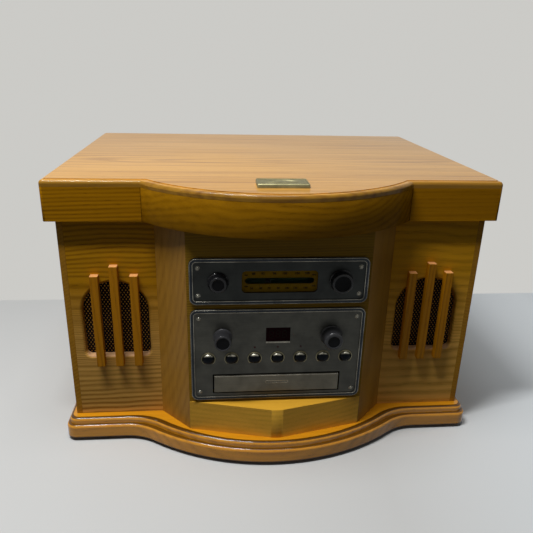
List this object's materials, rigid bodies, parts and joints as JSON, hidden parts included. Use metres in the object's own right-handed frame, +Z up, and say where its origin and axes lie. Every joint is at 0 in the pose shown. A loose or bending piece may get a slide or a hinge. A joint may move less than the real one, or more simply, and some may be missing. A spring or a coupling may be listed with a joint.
{
  "type": "record player",
  "caption": "Wooden tabletop music centre: record player under a hinged bow-front lid, radio with dial, disc drawer, arched speaker openings and a beaded plinth.",
  "frame": {"origin": "middle of the bounding box, on the surface the feet stand on", "axes": "+X to the right seen from the front, +Y to the back, +Z up; the bowed front with the controls faces -Y"},
  "size_m": [0.5054, 0.4422, 0.3272],
  "materials": {
    "cabinet_wood": "varnished oak veneer, satin",
    "plinth_wood": "varnished oak, gloss",
    "lid_wood": "varnished oak veneer, gloss",
    "rear_board": "painted board, matte",
    "deck_plastic": "fine texture",
    "rubber": "matte",
    "mat_rubber": "ribbed, matte",
    "grille_mesh": "woven mesh, black with bronze",
    "driver_cone": "matte",
    "pewter_plate": "antique pewter, brushed",
    "knob_metal": "dark nickel, polished",
    "button_metal": "dark nickel, polished",
    "dial_card": "amber brown, printed",
    "dial_pane": "clear",
    "display_pane": "dark red, polished",
    "lamp_red": "dark red",
    "pointer_orange": "orange",
    "screw_brass": "aged",
    "circuit_board": "green board",
    "transformer_iron": "laminated, varnished",
    "drive_black": "satin",
    "platter_metal": "turned",
    "bright_metal": "polished",
    "arm_black": "gloss",
    "badge_brass": "antique, cast",
    "hinge_brass": "satin"
  },
  "bodies": {
    "cabinet": {"base_plinth": "plinth_wood", "rubber_feet": "rubber", "left_side_panel": "cabinet_wood", "right_side_panel": "cabinet_wood", "rear_panel": "rear_board", "left_front_baffle": "cabinet_wood", "right_front_baffle": "cabinet_wood", "corner_panels": "cabinet_wood", "centre_front_board": "cabinet_wood", "front_apron": "cabinet_wood", "grille_slats": "cabinet_wood", "speaker_meshes": "grille_mesh", "speaker_drivers": "driver_cone", "radio_faceplate": "pewter_plate", "disc_faceplate": "pewter_plate", "dial_window": "dial_pane", "dial_scale": "dial_card", "display_window": "display_pane", "indicator_lamps": "lamp_red", "panel_screws": "screw_brass", "control_boards": "circuit_board", "disc_drive_chassis": "drive_black", "amplifier_board": "circuit_board", "mains_transformer": "transformer_iron", "rear_connectors": "drive_black", "deck_board": "deck_plastic", "turntable_motor": "drive_black", "drive_belt": "rubber", "cabinet_hinge_set": "hinge_brass"},
    "lid": {"lid_top_board": "lid_wood", "lid_bow_rail": "lid_wood", "lid_front_rails": "lid_wood", "lid_side_rails": "lid_wood", "lid_rear_rail": "lid_wood", "name_plate": "badge_brass", "lid_hinge_set": "hinge_brass"},
    "lid_stay": {"stay_arm": "hinge_brass"},
    "record_table": {"platter": "platter_metal", "platter_mat": "mat_rubber", "spindle": "bright_metal"},
    "drive_pulley": {"motor_pulley": "bright_metal"},
    "arm_swing": {"tonearm_yoke": "arm_black"},
    "arm_tilt": {"tonearm_tube": "bright_metal", "cartridge_shell": "arm_black"},
    "cue": {"cue_lever": "arm_black"},
    "speed": {"speed_lever": "arm_black"},
    "volume": {"volume_knob": "knob_metal"},
    "tuning": {"tuning_knob": "knob_metal"},
    "function": {"function_knob": "knob_metal"},
    "tone": {"tone_knob": "knob_metal"},
    "pointer": {"dial_pointer": "pointer_orange"},
    "push_button_1": {"button_1": "button_metal"},
    "push_button_2": {"button_2": "button_metal"},
    "push_button_3": {"button_3": "button_metal"},
    "push_button_4": {"button_4": "button_metal"},
    "push_button_5": {"button_5": "button_metal"},
    "push_button_6": {"button_6": "button_metal"},
    "push_button_7": {"button_7": "button_metal"},
    "drawer": {"disc_tray": "drive_black", "drawer_front": "pewter_plate"}
  },
  "joints": [
    {"name": "lid_hinge", "type": "hinge", "parent": "cabinet", "child": "lid", "pos_m": [0, 0.21815, 0.2772], "axis": [-1, 0, 0], "range_deg": [0, 62]},
    {"name": "stay_pivot", "type": "hinge", "parent": "lid", "child": "lid_stay", "pos_m": [-0.226, 0.12573, 0.2992], "axis": [-1, 0, 0], "range_deg": [-31, 0]},
    {"name": "platter_spin", "type": "hinge", "parent": "cabinet", "child": "record_table", "pos_m": [-0.045, 0.02, 0.2672], "axis": [0, 0, -1], "continuous": true},
    {"name": "motor_pulley_spin", "type": "hinge", "parent": "cabinet", "child": "drive_pulley", "pos_m": [-0.11861, -0.0225, 0.2572], "axis": [0, 0, -1], "continuous": true},
    {"name": "tonearm_swing", "type": "hinge", "parent": "cabinet", "child": "arm_swing", "pos_m": [0.132, 0.092, 0.284], "axis": [0, 0, -1], "range_deg": [0, 54]},
    {"name": "tonearm_tilt", "type": "hinge", "parent": "arm_swing", "child": "arm_tilt", "pos_m": [0.132, 0.092, 0.284], "axis": [-1, 0, 0], "range_deg": [0, 7.2]},
    {"name": "cue_lever_lift", "type": "hinge", "parent": "cabinet", "child": "cue", "pos_m": [0.172, 0.075, 0.2772], "axis": [-1, 0, 0], "range_deg": [0, 24]},
    {"name": "speed_lever_turn", "type": "hinge", "parent": "cabinet", "child": "speed", "pos_m": [0.182, -0.062, 0.253], "axis": [0, 0, 1], "range_deg": [0, 50]},
    {"name": "volume_turn", "type": "hinge", "parent": "cabinet", "child": "volume", "pos_m": [-0.067, -0.18725, 0.2186], "axis": [0, 1, 0], "range_deg": [0, 300]},
    {"name": "tuning_turn", "type": "hinge", "parent": "cabinet", "child": "tuning", "pos_m": [0.0672, -0.18725, 0.2192], "axis": [0, 1, 0], "range_deg": [-90, 180]},
    {"name": "function_turn", "type": "hinge", "parent": "cabinet", "child": "function", "pos_m": [-0.0623, -0.18725, 0.1529], "axis": [0, 1, 0], "range_deg": [0, 90]},
    {"name": "tone_turn", "type": "hinge", "parent": "cabinet", "child": "tone", "pos_m": [0.0606, -0.18725, 0.1523], "axis": [0, 1, 0], "range_deg": [-150, 150]},
    {"name": "pointer_slide", "type": "slide", "parent": "cabinet", "child": "pointer", "axis": [1, 0, 0], "range_m": [-0.0227, 0.0453]},
    {"name": "button_1_press", "type": "slide", "parent": "cabinet", "child": "push_button_1", "axis": [0, 1, 0], "range_m": [0, 0.0015], "stiffness_N_per_m": 400, "springref_m": -0.001},
    {"name": "button_2_press", "type": "slide", "parent": "cabinet", "child": "push_button_2", "axis": [0, 1, 0], "range_m": [0, 0.0015], "stiffness_N_per_m": 400, "springref_m": -0.001},
    {"name": "button_3_press", "type": "slide", "parent": "cabinet", "child": "push_button_3", "axis": [0, 1, 0], "range_m": [0, 0.0015], "stiffness_N_per_m": 400, "springref_m": -0.001},
    {"name": "button_4_press", "type": "slide", "parent": "cabinet", "child": "push_button_4", "axis": [0, 1, 0], "range_m": [0, 0.0015], "stiffness_N_per_m": 400, "springref_m": -0.001},
    {"name": "button_5_press", "type": "slide", "parent": "cabinet", "child": "push_button_5", "axis": [0, 1, 0], "range_m": [0, 0.0015], "stiffness_N_per_m": 400, "springref_m": -0.001},
    {"name": "button_6_press", "type": "slide", "parent": "cabinet", "child": "push_button_6", "axis": [0, 1, 0], "range_m": [0, 0.0015], "stiffness_N_per_m": 400, "springref_m": -0.001},
    {"name": "button_7_press", "type": "slide", "parent": "cabinet", "child": "push_button_7", "axis": [0, 1, 0], "range_m": [0, 0.0015], "stiffness_N_per_m": 400, "springref_m": -0.001},
    {"name": "drawer_slide", "type": "slide", "parent": "cabinet", "child": "drawer", "axis": [0, -1, 0], "range_m": [0, 0.13]}
  ],
  "couplings": [
    {"joint": "stay_pivot", "follows": "lid_hinge", "ratio": -0.5},
    {"joint": "motor_pulley_spin", "follows": "platter_spin", "ratio": 14.6},
    {"joint": "tonearm_tilt", "follows": "cue_lever_lift", "ratio": 0.2917},
    {"joint": "pointer_slide", "follows": "tuning_turn", "m_per_rad": 0.0144}
  ]
}
